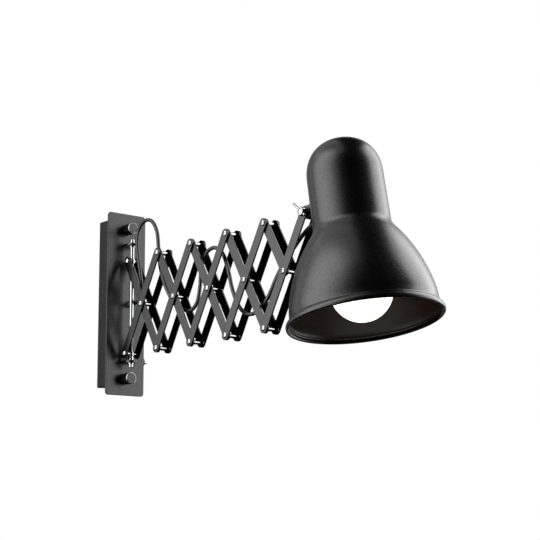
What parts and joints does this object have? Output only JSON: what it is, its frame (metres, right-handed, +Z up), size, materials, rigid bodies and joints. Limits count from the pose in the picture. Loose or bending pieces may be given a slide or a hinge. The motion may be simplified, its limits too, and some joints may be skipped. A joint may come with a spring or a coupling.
{
  "type": "accordion wall lamp",
  "caption": "Wall lamp with a box and face plate, a scissor arm that swings on a vertical rod and folds, and a tilting spun metal shade with a screw-cap bulb.",
  "frame": {"origin": "centre of the wall box's flat back face, on the wall", "axes": "+X out of the wall along the arm at rest, +Z up, +Y to the right of someone who faces the wall"},
  "size_m": [0.501, 0.1506, 0.2208],
  "materials": {
    "black_powder_coat": "fine-textured satin black powder coat",
    "black_arm_paint": "satin black paint",
    "shade_paint": "fine-textured satin black powder coat",
    "chrome": "polished chrome plate",
    "black_knob": "satin black with bright bevels",
    "zinc": "zinc plate",
    "brass": "plain brass",
    "nickel": "nickel plate",
    "black_rubber": "matte black",
    "cord_black": "matte black cord jacket",
    "holder_white": "glazed white",
    "block_plastic": "off-white",
    "switch_case": "black",
    "bulb_glass": "opal, lit"
  },
  "bodies": {
    "wall_part": {"wall_box": "black_powder_coat", "face_plate": "black_powder_coat", "upper_lug": "black_powder_coat", "lower_lug": "black_powder_coat", "pivot_rod": "chrome", "upper_ring": "chrome", "lower_ring": "chrome", "upper_washer": "chrome", "thrust_bush": "chrome", "cover_studs": "zinc", "terminal_block": "block_plastic", "cord_grip": "black_rubber", "switch_body": "switch_case", "switch_nut": "nickel"},
    "upper_nut": {"upper_thumb_nut": "black_knob"},
    "lower_nut": {"lower_thumb_nut": "black_knob"},
    "switch_toggle": {"switch_lever": "nickel"},
    "swing_pin": {"lower_cross_pin": "chrome", "lamp_cord": "cord_black"},
    "slide_pin": {"upper_cross_pin": "chrome"},
    "rise_1": {"rise_bar_1_left": "black_arm_paint", "rise_bar_1_right": "black_arm_paint", "rivets_1": "chrome"},
    "fall_1": {"fall_bar_1_left": "black_arm_paint", "fall_bar_1_right": "black_arm_paint"},
    "rise_2": {"rise_bar_2_left": "black_arm_paint", "rise_bar_2_right": "black_arm_paint", "rivets_2": "chrome"},
    "fall_2": {"fall_bar_2_left": "black_arm_paint", "fall_bar_2_right": "black_arm_paint"},
    "rise_3": {"rise_bar_3_left": "black_arm_paint", "rise_bar_3_right": "black_arm_paint", "rivets_3": "chrome"},
    "fall_3": {"fall_bar_3_left": "black_arm_paint", "fall_bar_3_right": "black_arm_paint"},
    "rise_4": {"rise_bar_4_left": "black_arm_paint", "rise_bar_4_right": "black_arm_paint", "rivets_4": "chrome"},
    "fall_4": {"fall_bar_4_left": "black_arm_paint", "fall_bar_4_right": "black_arm_paint"},
    "rise_5": {"rise_bar_5_left": "black_arm_paint", "rise_bar_5_right": "black_arm_paint", "rivets_5": "chrome", "clamp_nut": "chrome"},
    "fall_5": {"fall_bar_5_left": "black_arm_paint", "fall_bar_5_right": "black_arm_paint"},
    "clamp": {"clamp_screw": "chrome", "tommy_bar": "chrome"},
    "head": {"head_bracket": "black_arm_paint", "neck_bolt": "zinc", "shade": "shade_paint", "cord_bush": "black_rubber", "holder_strap": "zinc", "lampholder": "holder_white", "holder_nipple": "brass", "holder_nut": "brass", "bulb_glass": "bulb_glass", "bulb_cap": "nickel"}
  },
  "joints": [
    {"name": "upper_nut_turn", "type": "hinge", "parent": "wall_part", "child": "upper_nut", "pos_m": [0.03, 0, 0.08847], "axis": [1, 0, 0], "continuous": true},
    {"name": "lower_nut_turn", "type": "hinge", "parent": "wall_part", "child": "lower_nut", "pos_m": [0.03, 0, -0.08847], "axis": [1, 0, 0], "continuous": true},
    {"name": "switch_flip", "type": "hinge", "parent": "wall_part", "child": "switch_toggle", "pos_m": [0.013, 0.027, -0.06627], "axis": [1, 0, 0], "range_deg": [-12, 12]},
    {"name": "arm_swing", "type": "hinge", "parent": "wall_part", "child": "swing_pin", "pos_m": [0.0337, 0, 0], "axis": [0, 0, 1], "range_deg": [-75, 75]},
    {"name": "arm_fold", "type": "hinge", "parent": "swing_pin", "child": "rise_1", "pos_m": [0.0337, 0, -0.06045], "axis": [0, -1, 0], "range_deg": [-25, 14], "deforming": ["lamp_cord"]},
    {"name": "cross_1", "type": "hinge", "parent": "rise_1", "child": "fall_1", "pos_m": [0.06539, 0, -0.006], "axis": [0, -1, 0], "range_deg": [-28, 50]},
    {"name": "slide_pin_turn", "type": "hinge", "parent": "fall_1", "child": "slide_pin", "pos_m": [0.0337, 0, 0.04845], "axis": [0, -1, 0], "range_deg": [-25, 14]},
    {"name": "top_1", "type": "hinge", "parent": "rise_1", "child": "fall_2", "pos_m": [0.09708, 0, 0.04845], "axis": [0, -1, 0], "range_deg": [-28, 50]},
    {"name": "cross_2", "type": "hinge", "parent": "fall_2", "child": "rise_2", "pos_m": [0.12877, 0, -0.006], "axis": [0, -1, 0], "range_deg": [-50, 28]},
    {"name": "bottom_2", "type": "hinge", "parent": "fall_2", "child": "rise_3", "pos_m": [0.16046, 0, -0.06045], "axis": [0, -1, 0], "range_deg": [-50, 28]},
    {"name": "cross_3", "type": "hinge", "parent": "rise_3", "child": "fall_3", "pos_m": [0.19215, 0, -0.006], "axis": [0, -1, 0], "range_deg": [-28, 50]},
    {"name": "top_3", "type": "hinge", "parent": "rise_3", "child": "fall_4", "pos_m": [0.22384, 0, 0.04845], "axis": [0, -1, 0], "range_deg": [-28, 50]},
    {"name": "cross_4", "type": "hinge", "parent": "fall_4", "child": "rise_4", "pos_m": [0.25553, 0, -0.006], "axis": [0, -1, 0], "range_deg": [-50, 28]},
    {"name": "bottom_4", "type": "hinge", "parent": "fall_4", "child": "rise_5", "pos_m": [0.28722, 0, -0.06045], "axis": [0, -1, 0], "range_deg": [-50, 28]},
    {"name": "cross_5", "type": "hinge", "parent": "rise_5", "child": "fall_5", "pos_m": [0.31891, 0, -0.006], "axis": [0, -1, 0], "range_deg": [-28, 50]},
    {"name": "head_tilt", "type": "hinge", "parent": "rise_5", "child": "head", "pos_m": [0.3506, 0, 0.04845], "axis": [0, -1, 0], "range_deg": [-15, 75]},
    {"name": "clamp_turn", "type": "hinge", "parent": "rise_5", "child": "clamp", "pos_m": [0.3506, 0, 0.04845], "axis": [0, 1, 0], "range_deg": [-90, 90]}
  ],
  "couplings": [
    {"joint": "cross_1", "follows": "arm_fold", "ratio": -2},
    {"joint": "slide_pin_turn", "follows": "arm_fold", "ratio": 1},
    {"joint": "top_1", "follows": "arm_fold", "ratio": -2},
    {"joint": "cross_2", "follows": "arm_fold", "ratio": 2},
    {"joint": "bottom_2", "follows": "arm_fold", "ratio": 2},
    {"joint": "cross_3", "follows": "arm_fold", "ratio": -2},
    {"joint": "top_3", "follows": "arm_fold", "ratio": -2},
    {"joint": "cross_4", "follows": "arm_fold", "ratio": 2},
    {"joint": "bottom_4", "follows": "arm_fold", "ratio": 2},
    {"joint": "cross_5", "follows": "arm_fold", "ratio": -2}
  ]
}
